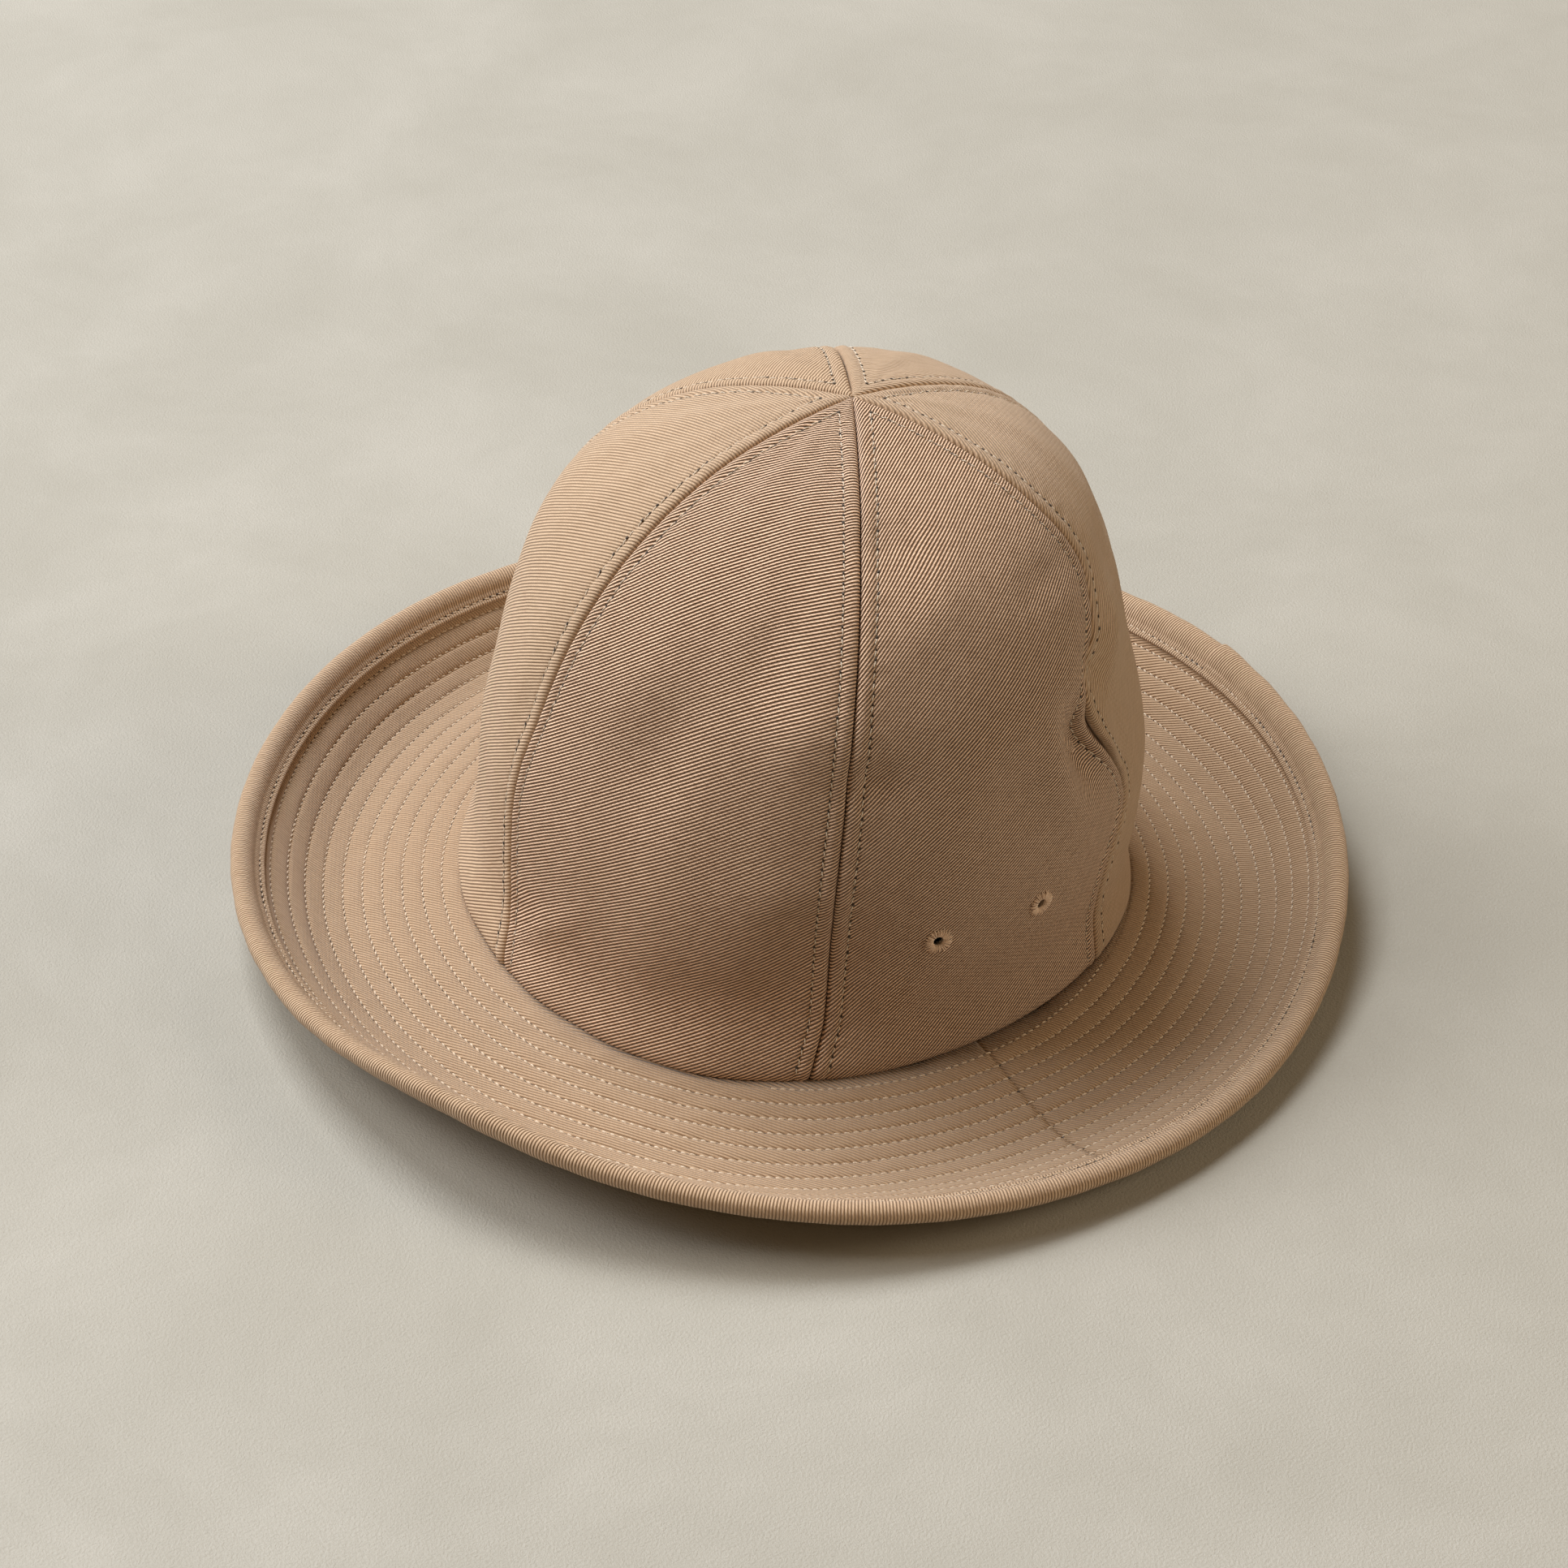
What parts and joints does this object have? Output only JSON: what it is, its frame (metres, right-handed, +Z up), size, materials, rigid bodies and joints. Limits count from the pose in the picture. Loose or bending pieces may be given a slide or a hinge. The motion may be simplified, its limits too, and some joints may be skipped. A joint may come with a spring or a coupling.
{
  "type": "mountain hat",
  "caption": "Deep crowned twill hat with a dished, row stitched brim, a bound rolled edge and sewn vent eyelets; it rests on its brim.",
  "frame": {"origin": "on the floor, under the middle of the brim", "axes": "+Z up, -Y towards the front of the hat, +X towards the wearer's left"},
  "size_m": [0.3224, 0.3119, 0.152],
  "materials": {
    "crown_twill": "bold tan cotton twill, matt",
    "brim_twill": "tan cotton twill, row stitched, matt",
    "binding_tape": "tan twill tape, matt",
    "eyelet_thread": "sewn thread, soft sheen"
  },
  "bodies": {
    "root": {"crown_front_left": "crown_twill", "crown_left": "crown_twill", "crown_back_left": "crown_twill", "crown_back_right": "crown_twill", "crown_right": "crown_twill", "crown_front_right": "crown_twill", "brim_front": "brim_twill", "brim_back": "brim_twill", "edge_binding": "binding_tape", "eyelet_left_front": "eyelet_thread", "eyelet_left_back": "eyelet_thread", "eyelet_right_front": "eyelet_thread", "eyelet_right_back": "eyelet_thread"}
  },
  "joints": []
}
